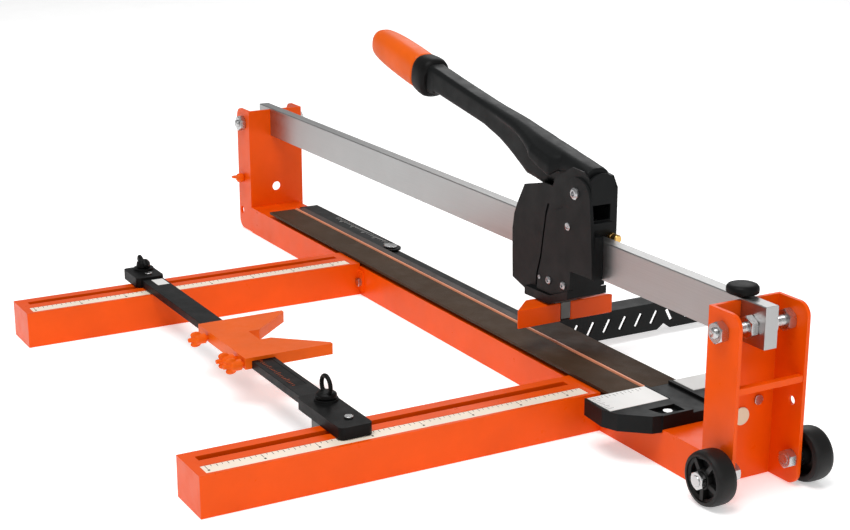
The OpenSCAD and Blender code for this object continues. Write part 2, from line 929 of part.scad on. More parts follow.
// The cover that widens over the carriage, with a skirt outside each wall.
module lever_hood() {
    intersection() {
        xy(200, 260)
            polygon([[-90, -lever_y], [-45, -19], [-33, -hood_y], [4, -hood_y], [12, -13.5], [56, -13.5],
                [56, 13.5], [12, 13.5], [4, hood_y], [-33, hood_y], [-45, 19], [-90, lever_y]]);
        union() {
            xz(-hood_y, hood_y)
                polygon([[-90, 255.5], [-46, 247], [0, 239], [56, 228.5], [56, 222], [12, 222], [4, 220],
                    [-44, 229], [-50, 236], [-90, 249]]);
            for (y = [-hood_y, body_y + 0.5])
                xz(y, y + hood_y - body_y - 0.5)
                    polygon([[-52, 240], [-50, 236], [-39, 230], [-33, 225], [-15, 218], [2, 213.5],
                        [4, 220], [4, 234]]);
        }
    }
}

module lever() {
    color([0.1, 0.1, 0.1])
        at_plunger()
            difference() {
                union() {
                    lever_arm();
                    lever_hood();
                }
                rod_y(pivot_dx, pivot_z, -30, 30, bolt_r + run_gap);
            }
}

module lever_pivot_bolt() {
    reach = body_y + cheek_t;
    color([0.2, 0.2, 0.2])
        at_plunger() {
            rod_y(pivot_dx, pivot_z, -reach, reach, bolt_r);
            for (s = [-1, 1])
                rod_y(pivot_dx, pivot_z, s * (reach + 1.5) - 1.5, s * (reach + 1.5) + 1.5, 6);
        }
}

// Puts a child on the lever's axis at the collar: its +Z is the way to the butt and its +X is up.
module on_lever() {
    translate([collar_at[0], 0, collar_at[1]])
        rotate([0, -90 + lever_tilt, 0])
            children();
}

module lever_collar() {
    color([0.1, 0.1, 0.1])
        at_plunger()
            on_lever()
                xy(-collar_len / 2, collar_len / 2)
                    round_rect(-22, -18, 22, 18, 15);
}

module lever_grip() {
    start = collar_len / 2;
    color("darkorange")
        at_plunger()
            on_lever() {
                xy(start, start + 72)
                    round_rect(-20, -17, 20, 17, 15);
                xy(start + 72, start + 96)
                    round_rect(-19, -16.5, 18.5, 16.5, 14);
                xy(start + 96, start + 106)
                    round_rect(-17, -15, 16, 15, 12);
            }
}

// ---------- transport wheels ----------

// A spoked wheel. s is -1 at the front and +1 at the rear.
module wheel(s) {
    color([0.1, 0.1, 0.1])
        difference() {
            rod_y(axle_x, axle_z, s * wheel_y - wheel_w / 2, s * wheel_y + wheel_w / 2, wheel_r);
            rod_y(axle_x, axle_z, -80, 80, m10_r + run_gap);
            translate([axle_x, s * (wheel_y + wheel_w / 2), axle_z])
                rotate([90, 0, 0])
                    difference() {
                        cylinder(h = 8, r = 18, center = true);
                        cylinder(h = 9, r = 9, center = true);
                        for (a = [0 : 72 : 359])
                            rotate([0, 0, a])
                                translate([0, -2, -5])
                                    cube([18, 4, 10]);
                    }
        }
}

module wheel_front() {
    wheel(-1);
}

module wheel_rear() {
    wheel(1);
}

module wheel_axles() {
    color("silver")
        for (s = [-1, 1]) {
            a = s * 26;
            b = s * 68;
            rod_y(axle_x, axle_z, min(a, b), max(a, b), m10_r);
            c = s * (flange_y - sheet_t);
            rod_y(axle_x, axle_z, min(a, c), max(a, c), 8.5);
            d = s * (wheel_y + wheel_w / 2 + 0.5);
            rod_y(axle_x, axle_z, min(d, b), max(d, b), 8.5);
        }
}

base_beam();
left_bracket();
right_bracket();
guide_rail();
rail_bumper();
tie_rods();
tie_rod_nuts();
carry_bars();
web_plug();
bracket_wing_screw();
breaking_ridge();
table_front();
table_springs();
spring_cups();
table_rear_strip();
table_rear_plate();
swing_bed();
end_head();
head_scale_plates();
frame_screws();
arm_left();
arm_right();
arm_scale_tapes();
crossbar();
crossbar_scale();
clamp_block_left();
clamp_block_right();
clamp_shoes();
clamp_knob_left();
clamp_knob_right();
clamp_screws();
angle_stop();
stop_screw_1();
stop_screw_2();
stop_screw_3();
swing_arm_left();
swing_arm_right();
swing_pivots();
carriage_body();
cheek_front();
cheek_rear();
cheek_screws();
roller_axles();
roller_left();
roller_right();
lower_glides();
adjuster_screw();
plunger();
return_springs();
cutter_holder();
cutter_wheel();
cutter_pin();
breaker_foot();
lever();
lever_pivot_bolt();
lever_collar();
lever_grip();
wheel_front();
wheel_rear();
wheel_axles();
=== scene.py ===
"""Looks of the tile cutter: materials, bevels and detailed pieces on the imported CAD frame."""
import json
import math

import bmesh
import bpy
from mathutils import Matrix, Vector


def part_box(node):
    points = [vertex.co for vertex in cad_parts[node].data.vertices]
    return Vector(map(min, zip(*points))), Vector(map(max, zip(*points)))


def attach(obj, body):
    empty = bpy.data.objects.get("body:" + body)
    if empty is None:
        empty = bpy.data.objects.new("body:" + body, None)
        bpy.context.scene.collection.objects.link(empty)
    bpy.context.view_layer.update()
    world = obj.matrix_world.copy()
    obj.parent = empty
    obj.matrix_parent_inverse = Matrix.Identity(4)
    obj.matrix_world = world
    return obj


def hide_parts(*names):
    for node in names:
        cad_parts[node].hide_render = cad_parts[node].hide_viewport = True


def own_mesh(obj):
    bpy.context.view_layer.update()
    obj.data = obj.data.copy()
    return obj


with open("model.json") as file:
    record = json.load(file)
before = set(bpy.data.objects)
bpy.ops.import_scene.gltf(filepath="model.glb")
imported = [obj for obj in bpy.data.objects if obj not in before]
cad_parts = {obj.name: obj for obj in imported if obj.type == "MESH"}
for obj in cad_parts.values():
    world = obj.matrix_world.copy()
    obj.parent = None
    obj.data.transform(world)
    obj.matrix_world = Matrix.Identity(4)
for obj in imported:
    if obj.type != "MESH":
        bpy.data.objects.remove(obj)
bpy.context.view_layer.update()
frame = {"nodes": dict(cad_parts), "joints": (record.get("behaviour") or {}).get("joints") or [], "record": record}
MM = 0.001


# ---------- camera and light ----------

VIEW_AZIMUTH = math.radians(60.79)
VIEW_ELEVATION = math.radians(16.29)
VIEW_DISTANCE = 1.8
VIEW_TARGET = Vector((-0.0263, -0.0245, 0.0673))
VIEW_LENS = 69.63


def look(obj, target):
    """Turns a camera or light so that it faces target."""
    obj.rotation_mode = "QUATERNION"
    obj.rotation_quaternion = (target - obj.location).to_track_quat("-Z", "Y")


def make_camera():
    data = bpy.data.cameras.new("camera")
    data.lens = VIEW_LENS
    data.sensor_width = 36
    data.clip_start = 0.05
    data.clip_end = 50
    camera = bpy.data.objects.new("camera", data)
    bpy.context.scene.collection.objects.link(camera)
    flat = math.cos(VIEW_ELEVATION)
    back = Vector((math.sin(VIEW_AZIMUTH) * flat, -math.cos(VIEW_AZIMUTH) * flat, math.sin(VIEW_ELEVATION)))
    camera.location = VIEW_TARGET + back * VIEW_DISTANCE
    look(camera, VIEW_TARGET)
    bpy.context.scene.camera = camera


def area_light(name, place, size, power, target=(0, 0, 0.05)):
    data = bpy.data.lights.new(name, "AREA")
    data.shape = "DISK"
    data.size = size
    data.energy = power
    light = bpy.data.objects.new(name, data)
    bpy.context.scene.collection.objects.link(light)
    light.location = place
    look(light, Vector(target))


def make_world():
    world = bpy.data.worlds.new("studio")
    world.use_nodes = True
    world.node_tree.nodes["Background"].inputs["Color"].default_value = (1, 1, 1, 1)
    world.node_tree.nodes["Background"].inputs["Strength"].default_value = 0.34
    bpy.context.scene.world = world


def make_floor():
    mesh = bpy.data.meshes.new("floor")
    reach = 60.0
    mesh.from_pydata([(-reach, -reach, -0.0003), (reach, -reach, -0.0003), (reach, reach, -0.0003),
                      (-reach, reach, -0.0003)], [], [(0, 1, 2, 3)])
    floor = bpy.data.objects.new("floor", mesh)
    bpy.context.scene.collection.objects.link(floor)
    paper = plain("floor_paper", (0.95, 0.95, 0.95), 0.9, bump=0.02, grain=120, vary=0.03, shine=0.1)
    shader = paper.node_tree.nodes["Principled BSDF"]
    shader.inputs["Emission Color"].default_value = (1, 1, 1, 1)
    shader.inputs["Emission Strength"].default_value = 0.42
    floor.data.materials.append(paper)


# ---------- materials ----------

def new_material(name):
    """A material with its shader and an object-space coordinate, ready for more nodes."""
    m = bpy.data.materials.new(name)
    m.use_nodes = True
    tree = m.node_tree
    shader = tree.nodes["Principled BSDF"]
    coords = tree.nodes.new("ShaderNodeTexCoord")
    return m, tree, shader, coords.outputs["Object"]


def mapped(tree, source, scale):
    node = tree.nodes.new("ShaderNodeMapping")
    node.inputs["Scale"].default_value = scale
    tree.links.new(source, node.inputs["Vector"])
    return node.outputs["Vector"]


def noise(tree, source, scale, detail=4.0, rough=0.55):
    node = tree.nodes.new("ShaderNodeTexNoise")
    node.inputs["Scale"].default_value = scale
    node.inputs["Detail"].default_value = detail
    node.inputs["Roughness"].default_value = rough
    tree.links.new(source, node.inputs["Vector"])
    return node.outputs["Fac"]


def ramp(tree, source, stops):
    """A colour ramp. stops is a list of (place, colour or grey)."""
    node = tree.nodes.new("ShaderNodeValToRGB")
    table = node.color_ramp
    while len(table.elements) < len(stops):
        table.elements.new(0.5)
    for element, (place, value) in zip(table.elements, stops):
        element.position = place
        colour = (value, value, value) if isinstance(value, (int, float)) else value
        element.color = (*colour, 1)
    tree.links.new(source, node.inputs["Fac"])
    return node.outputs["Color"]


def mix(tree, factor, a, b):
    """Mixes two colour outputs by a factor output."""
    node = tree.nodes.new("ShaderNodeMix")
    node.data_type = "RGBA"
    tree.links.new(factor, node.inputs["Factor"])
    tree.links.new(a, node.inputs["A"])
    tree.links.new(b, node.inputs["B"])
    return node.outputs["Result"]


def bump(tree, height, strength, distance, normal=None):
    node = tree.nodes.new("ShaderNodeBump")
    node.inputs["Strength"].default_value = strength
    node.inputs["Distance"].default_value = distance
    tree.links.new(height, node.inputs["Height"])
    if normal is not None:
        tree.links.new(normal, node.inputs["Normal"])
    return node.outputs["Normal"]


def shade(colour, factor):
    return tuple(min(1.0, c * factor) for c in colour)


def plain(name, colour, roughness, metallic=0.0, bump=0.15, grain=900, coat=0.0, vary=0.12, shine=0.5):
    """A painted, moulded or cast surface: cloudy colour, uneven gloss and a fine grain."""
    m, tree, shader, where = new_material(name)
    cloud = noise(tree, where, 18, 5)
    fine = noise(tree, where, grain, 3)
    tree.links.new(ramp(tree, cloud, [(0.3, shade(colour, 1 - vary)), (0.7, shade(colour, 1 + vary))]),
                   shader.inputs["Base Color"])
    tree.links.new(ramp(tree, noise(tree, where, 60, 6), [(0.3, max(0.02, roughness - 0.07)),
                                                          (0.75, min(1, roughness + 0.09))]),
                   shader.inputs["Roughness"])
    shader.inputs["Metallic"].default_value = metallic
    shader.inputs["Specular IOR Level"].default_value = shine
    shader.inputs["Coat Weight"].default_value = coat
    shader.inputs["Coat Roughness"].default_value = 0.12
    relief = tree.nodes.new("ShaderNodeBump")
    relief.inputs["Strength"].default_value = bump
    relief.inputs["Distance"].default_value = 0.0004
    tree.links.new(fine, relief.inputs["Height"])
    tree.links.new(relief.outputs["Normal"], shader.inputs["Normal"])
    return m


def brushed(name, colour, roughness, along, bump_strength=0.12):
    """Metal with fine parallel grinding marks along one axis."""
    m, tree, shader, where = new_material(name)
    stretch = [1400.0, 1400.0, 1400.0]
    stretch[along] = 9.0
    marks = noise(tree, mapped(tree, where, stretch), 1.0, 5, 0.6)
    cloud = noise(tree, where, 7, 4)
    base = ramp(tree, marks, [(0.25, shade(colour, 0.80)), (0.75, shade(colour, 1.1))])
    stain = ramp(tree, cloud, [(0.35, shade(colour, 0.86)), (0.7, shade(colour, 1.05))])
    tree.links.new(mix(tree, cloud, base, stain), shader.inputs["Base Color"])
    tree.links.new(ramp(tree, marks, [(0.2, roughness - 0.08), (0.8, roughness + 0.1)]),
                   shader.inputs["Roughness"])
    shader.inputs["Metallic"].default_value = 1.0
    tree.links.new(bump(tree, marks, bump_strength, 0.0002), shader.inputs["Normal"])
    return m


MATERIALS = {
    "orange_paint": plain("orange_paint", (0.84, 0.085, 0.0004), 0.34, bump=0.05, grain=700,
                          coat=0.0, vary=0.06, shine=0.16),
    "orange_plastic": plain("orange_plastic", (0.82, 0.115, 0.0008), 0.42, bump=0.08, grain=1500, vary=0.07,
                            shine=0.2),
    "rail_steel": brushed("rail_steel", (0.42, 0.418, 0.415), 0.36, 0),
    "zinc_hardware": plain("zinc_hardware", (0.52, 0.52, 0.52), 0.26, 1.0, bump=0.04),
    "black_casting": plain("black_casting", (0.006, 0.0068, 0.0070), 0.48, bump=0.12, grain=1600, shine=0.14),
    "black_plastic": plain("black_plastic", (0.005, 0.005, 0.0050), 0.48, bump=0.1, grain=1900, shine=0.12),
    "table_rubber": plain("table_rubber", (0.055, 0.031, 0.016), 0.62, bump=0.3, grain=2200, shine=0.12),
    # strip_brown is a dark reddish brown that stands for the orange beam top in shade beside the ridge: painted
    # shade, not the part's own colour.
    "strip_brown": plain("strip_brown", (0.045, 0.028, 0.022), 0.5, bump=0.15, grain=900, shine=0.3),
    "ridge_salmon": plain("ridge_salmon", (0.80, 0.30, 0.16), 0.4, bump=0.05),
    "pale_grey": plain("pale_grey", (0.50, 0.50, 0.48), 0.5, bump=0.05),
    "label_white": plain("label_white", (0.80, 0.80, 0.78), 0.4, bump=0.02, vary=0.03),
    "tape_cream": plain("tape_cream", (0.92, 0.80, 0.66), 0.5, bump=0.03, vary=0.05),
    "dark_steel": plain("dark_steel", (0.10, 0.095, 0.09), 0.38, 1.0, bump=0.05),
    "tool_steel": plain("tool_steel", (0.42, 0.42, 0.43), 0.28, 1.0, bump=0.05),
    "brass": plain("brass", (0.70, 0.44, 0.14), 0.28, 1.0, bump=0.04),
    "ivory_plastic": plain("ivory_plastic", (0.72, 0.64, 0.46), 0.45, bump=0.05),
    "wheel_rubber": plain("wheel_rubber", (0.006, 0.0058, 0.0055), 0.48, bump=0.15, grain=1200, shine=0.25),
}


# ---------- CAD nodes ----------

BEVELS = {"guide_rail": 0.4, "head_scale_plates": 0.1, "arm_scale_tapes": 0.1, "crossbar_scale": 0.1,
          "carriage_body": 1.0, "cheek_front": 1.5, "cheek_rear": 1.5, "lever": 3.0, "angle_stop": 0.8,
          "breaker_foot": 1.5, "end_head": 1.0, "clamp_block_left": 1.0, "clamp_block_right": 1.0}
NO_BEVEL = {"table_springs", "return_springs", "cutter_wheel"}
WELD_DISTANCE = 0.00001
FLAT_ANGLE = math.radians(0.5)
EDGE_ANGLE = math.radians(35)
EDGE_WIDTH = 0.5


def dress_cad_nodes():
    """Gives each CAD node its slot's material and a small rounded edge.

    Welding, then joining the triangles of each flat face, keeps dark seams out of the rounded edges.
    """
    for part in frame["record"]["subparts"]:
        node = frame["nodes"][part["node"]]
        node.data.materials.clear()
        node.data.materials.append(MATERIALS[part["material_slot"]])
        if part["node"] in NO_BEVEL:
            continue
        weld = node.modifiers.new("weld", "WELD")
        weld.merge_threshold = WELD_DISTANCE
        flat = node.modifiers.new("flat", "DECIMATE")
        flat.decimate_type = "DISSOLVE"
        flat.angle_limit = FLAT_ANGLE
        edge = node.modifiers.new("edge", "BEVEL")
        edge.width = BEVELS.get(part["node"], EDGE_WIDTH) * MM
        edge.segments = 2
        edge.limit_method = "ANGLE"
        edge.angle_limit = EDGE_ANGLE
        edge.harden_normals = True
        edge.use_clamp_overlap = True


# ---------- mesh helpers ----------

def place_of(joint):
    """A joint's place at rest, in metres."""
    found = [j for j in frame["joints"] if j["name"] == joint][0]
    return Vector(found["pos_m"])


def centre(node):
    low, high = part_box(node)
    return (low + high) / 2


def quads(bm, rings, closed=True):
    """Joins rings of vertices into a skin, and caps both ends when closed."""
    count = len(rings[0])
    for a, b in zip(rings, rings[1:]):
        for i in range(count):
            j = (i + 1) % count
            bm.faces.new((a[i], a[j], b[j], b[i]))
    if closed:
        bm.faces.new(list(reversed(rings[0])))
        bm.faces.new(rings[-1])


def ring(bm, points):
    return [bm.verts.new(p) for p in points]


def basis(axis):
    """Two unit vectors square to axis, and axis itself."""
    axis = Vector(axis).normalized()
    side = Vector((0, 1, 0)) if abs(axis.y) < 0.9 else Vector((1, 0, 0))
    up = axis.cross(side).normalized()
    return up, axis.cross(up), axis


def turned(bm, at, axis, profile, sides=40):
    """A turned shape. profile is a list of (distance along axis, radius) in mm."""
    up, side, axis = basis(axis)
    rings = []
    for along, radius in profile:
        middle = at + axis * (along * MM)
        rings.append(ring(bm, [middle + (up * math.cos(a) + side * math.sin(a)) * (radius * MM)
                               for a in (2 * math.pi * i / sides for i in range(sides))]))
    quads(bm, rings)


def tube_ring(bm, at, axis, profile, sides=48):
    """A turned shape with a hole: profile is a closed loop of (distance along axis, radius) in mm."""
    up, side, axis = basis(axis)
    loops = []
    for i in range(sides):
        a = 2 * math.pi * i / sides
        out = up * math.cos(a) + side * math.sin(a)
        loops.append(ring(bm, [at + axis * (h * MM) + out * (r * MM) for h, r in profile]))
    quads(bm, loops + [loops[0]], closed=False)


def block(bm, low, high):
    """A box between two corners, in metres."""
    matrix = Matrix.Translation((Vector(low) + Vector(high)) / 2)
    size = Vector(high) - Vector(low)
    bmesh.ops.create_cube(bm, size=1.0, matrix=matrix @ Matrix.Diagonal((*size, 1)))


def egg(bm, at, size, turn=Matrix.Identity(4)):
    """An ellipsoid of the given half sizes in mm."""
    scale = Matrix.Diagonal((size[0] * MM, size[1] * MM, size[2] * MM, 1))
    bmesh.ops.create_uvsphere(bm, u_segments=32, v_segments=20, radius=1.0,
                              matrix=Matrix.Translation(at) @ turn @ scale)


def sections(bm, start, axis, stations, sides=48):
    """Lofts rounded sections along axis. A station is (along, up, down, wide, squareness), all mm."""
    axis = Vector(axis).normalized()
    side = Vector((0, 1, 0))
    up = side.cross(axis).normalized()
    if up.z < 0:
        up = -up
    rings = []
    for along, high, low, wide, power in stations:
        points = []
        for i in range(sides):
            a = 2 * math.pi * i / sides
            c, s = math.cos(a), math.sin(a)
            y = math.copysign(abs(c) ** (2 / power), c) * wide
            z = math.copysign(abs(s) ** (2 / power), s) * (high if s > 0 else low)
            points.append(start + axis * (along * MM) + side * (y * MM) + up * (z * MM))
        rings.append(ring(bm, points))
    quads(bm, rings)


def bake_down(obj):
    """Keeps an object's shape after its modifiers, and drops them."""
    graph = bpy.context.evaluated_depsgraph_get()
    mesh = bpy.data.meshes.new_from_object(obj.evaluated_get(graph))
    obj.modifiers.clear()
    obj.data = mesh


def melt(obj, voxel, passes=3):
    """Joins overlapping closed shapes into one soft casting."""
    skin = obj.modifiers.new("skin", "REMESH")
    skin.mode = "VOXEL"
    skin.voxel_size = voxel * MM
    skin.use_smooth_shade = True
    soft = obj.modifiers.new("soft", "SMOOTH")
    soft.factor = 0.5
    soft.iterations = passes
    bake_down(obj)


def cut(obj, at, axis, radius, reach):
    """Cuts a round bore through obj."""
    bm = bmesh.new()
    turned(bm, at, axis, [(-reach, radius), (reach, radius)], 48)
    bmesh.ops.recalc_face_normals(bm, faces=bm.faces)
    mesh = bpy.data.meshes.new("bore_tool")
    bm.to_mesh(mesh)
    bm.free()
    tool = bpy.data.objects.new("bore_tool", mesh)
    bpy.context.scene.collection.objects.link(tool)
    bore = obj.modifiers.new("bore", "BOOLEAN")
    bore.operation = "DIFFERENCE"
    bore.solver = "EXACT"
    bore.object = tool
    bake_down(obj)
    bpy.data.objects.remove(tool)


def piece(name, bm, body, slot, nodes=(), bevel=0.0, voxel=0.0, passes=3, bore=None, sharp=38):
    """Turns bm into a named piece that rides on body and stands for nodes."""
    bmesh.ops.remove_doubles(bm, verts=bm.verts, dist=1e-7)
    bmesh.ops.recalc_face_normals(bm, faces=bm.faces)
    mesh = bpy.data.meshes.new(name)
    bm.to_mesh(mesh)
    bm.free()
    obj = bpy.data.objects.new(name, mesh)
    bpy.context.scene.collection.objects.link(obj)
    if voxel:
        melt(obj, voxel, passes)
    if bore:
        cut(obj, *bore)
    if bevel:
        edge = obj.modifiers.new("edge", "BEVEL")
        edge.width = bevel * MM
        edge.segments = 3
        edge.limit_method = "ANGLE"
        edge.angle_limit = math.radians(30)
        bake_down(obj)
    obj.data.materials.clear()
    obj.data.materials.append(MATERIALS[slot])
    obj.data.shade_smooth()
    obj.data.set_sharp_from_angle(angle=math.radians(sharp))
    if nodes:
        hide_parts(*nodes)
    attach(obj, body)
    return obj


# ---------- fasteners ----------

def hex_nut(bm, at, axis, across, low, high, bore):
    """A chamfered hexagon nut from low to high along axis, in mm."""
    up, side, axis = basis(axis)
    apothem = across / 2
    steps = 60
    loops = []
    for i in range(steps):
        a = 2 * math.pi * i / steps
        out = up * math.cos(a) + side * math.sin(a)
        corner = apothem / math.cos(math.radians((math.degrees(a) % 60) - 30))
        drop = (corner - apothem) * 0.577 + 0.15
        loops.append(ring(bm, [at + axis * (h * MM) + out * (r * MM) for h, r in (
            (low, bore), (low, apothem * 0.97), (low + drop, corner), (high - drop, corner),
            (high, apothem * 0.97), (high, bore))]))
    quads(bm, loops + [loops[0]], closed=False)


def thread(bm, at, axis, low, high, radius, pitch, depth, sides=20, per_turn=6):
    """A threaded rod from low to high along axis, in mm, with chamfered ends."""
    up, side, axis = basis(axis)
    rows = int((high - low) / pitch * per_turn)
    rings = []
    for k in range(rows + 1):
        along = low + (high - low) * k / rows
        points = []
        for i in range(sides):
            a = 2 * math.pi * i / sides
            phase = (along / pitch + i / sides) % 1.0
            r = radius - depth * abs(2 * phase - 1)
            r = min(r, radius - 1.2 * depth + min(along - low, high - along))
            points.append(at + axis * (along * MM) + (up * math.cos(a) + side * math.sin(a)) * (r * MM))
        rings.append(ring(bm, points))
    quads(bm, rings)


def socket_head(bm, at, axis, radius, height):
    """A low button head with a hexagon socket. axis points out of the head."""
    up, side, axis = basis(axis)
    loops = []
    steps = 48
    for i in range(steps):
        a = 2 * math.pi * i / steps
        out = up * math.cos(a) + side * math.sin(a)
        hexagon = radius * 0.42 / math.cos(math.radians((math.degrees(a) % 60) - 30))
        profile = [
            (0, radius), (height * 0.55, radius * 0.97), (height * 0.85, radius * 0.82),
            (height, radius * 0.6), (height, hexagon), (height * 0.3, hexagon * 0.97),
            (height * 0.25, 0.01), (0, 0.01)]
        loops.append(ring(bm, [at + axis * (h * MM) + out * (r * MM) for h, r in profile]))
    quads(bm, loops + [loops[0]], closed=False)


def end_rods():
    """The threaded rods that hold the rail between the bracket flanges, and their nuts."""
    low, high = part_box("tie_rods")
    radius = (high.z - low.z) / 2 / MM
    z = (low.z + high.z) / 2
    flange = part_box("left_bracket")[1].y / MM
    sheet = 3.5
    half_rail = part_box("guide_rail")[1].y / MM
    rods, nuts = bmesh.new(), bmesh.new()
    for x in (low.x + radius * MM, high.x - radius * MM):
        at = Vector((x, 0, z))
        thread(rods, at, (0, 1, 0), low.y / MM, high.y / MM, radius, 1.5, 0.75)
        for s in (-1, 1):
            for a, b in ((flange, flange + 8), (26, flange - sheet), (half_rail, 14.5)):
                hex_nut(nuts, at, (0, s, 0), 17, a + 0.02, b - 0.02, radius)
    piece("tie_rod_threads", rods, "frame", "zinc_hardware", ["tie_rods"], sharp=50)
    piece("tie_rod_hex_nuts", nuts, "frame", "zinc_hardware", ["tie_rod_nuts"], sharp=25)


def wheel_fittings():
    """Wheel axles with a hexagon locknut outside and a bolt head inside each wheel."""
    bm = bmesh.new()
    for side in ("front", "rear"):
        low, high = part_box(f"wheel_{side}")
        at = (low + high) / 2
        s = -1 if side == "front" else 1
        at.y = 0
        wide = (high.y - low.y) / MM
        outer = max(abs(low.y), abs(high.y)) / MM
        thread(bm, at, (0, s, 0), 26, 67.9, 4.85, 1.25, 0.5)
        hex_nut(bm, at, (0, s, 0), 14.6, 26.2, 34, 4.7)
        hex_nut(bm, at, (0, s, 0), 14.6, outer + 0.5, 67, 4.7)
        inner = outer - wide
        washer = [(inner - 3.5, 4.7), (inner - 3.5, 8.5), (inner - 1, 8.5), (inner - 1, 4.7)]
        tube_ring(bm, at, (0, s, 0), washer)
    piece("wheel_axle_bolts", bm, "frame", "zinc_hardware", ["wheel_axles"], sharp=25)


def carriage_fittings():
    """Button heads on the cheeks, the pivot bolt's heads, the rivets and the adjusting screw."""
    bolt = place_of("lever_pivot")
    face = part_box("cheek_rear")[1].y
    bm = bmesh.new()
    for s in (-1, 1):
        at = Vector((bolt.x, s * (face - 0.1 * MM), bolt.z))
        socket_head(bm, at, (0, s, 0), 6, 3)
    turned(bm, Vector((bolt.x, 0, bolt.z)), (0, 1, 0), [(-20, 5), (20, 5)])
    piece("pivot_bolt_heads", bm, "carriage", "tool_steel", ["lever_pivot_bolt"], sharp=30)
    bm = bmesh.new()
    for s in (-1, 1):
        for dx, z, radius, height in ((7, 112, 4, 2), (32, 113, 4, 2), (-10, 111, 2, 0.8)):
            at = Vector((plunger_axis + dx * MM, s * (face - 0.1 * MM), z * MM))
            socket_head(bm, at, (0, s, 0), radius, height)
    piece("cheek_button_screws", bm, "carriage", "tool_steel", ["cheek_screws"], sharp=30)
    bm = bmesh.new()
    for joint, front, reach in (("roller_left_spin", -14.5, 16.5), ("roller_right_spin", -20, 20)):
        at = place_of(joint)
        at.y = 0
        turned(bm, at, (0, 1, 0), [(front, 3), (reach, 3)])
        if reach > 18:
            for s in (-1, 1):
                rivet_head = [(reach - 0.1, 4), (reach + 0.8, 4), (reach + 1.3, 3.4),
                              (reach + 1.5, 2.2), (reach + 1.1, 1.6), (reach + 1.0, 0.2)]
                turned(bm, at, (0, s, 0), rivet_head)
    piece("roller_axle_rivets", bm, "carriage", "tool_steel", ["roller_axles"], sharp=30)
    low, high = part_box("adjuster_screw")
    at = Vector((low.x, (low.y + high.y) / 2, (low.z + high.z) / 2))
    length = (high.x - low.x) / MM
    bm = bmesh.new()
    thread(bm, at, (1, 0, 0), 0, length - 12, 2.45, 0.8, 0.35)
    hex_nut(bm, at, (1, 0, 0), 7.9, length - 12.9, length - 8, 2.3)
    turned(bm, at, (1, 0, 0), [(length - 8, 2.4), (length - 7, 4.2), (length - 1, 4.2), (length, 3.4)], 12)
    piece("adjuster_brass_screw", bm, "carriage", "brass", ["adjuster_screw"], sharp=25)


# ---------- lever ----------

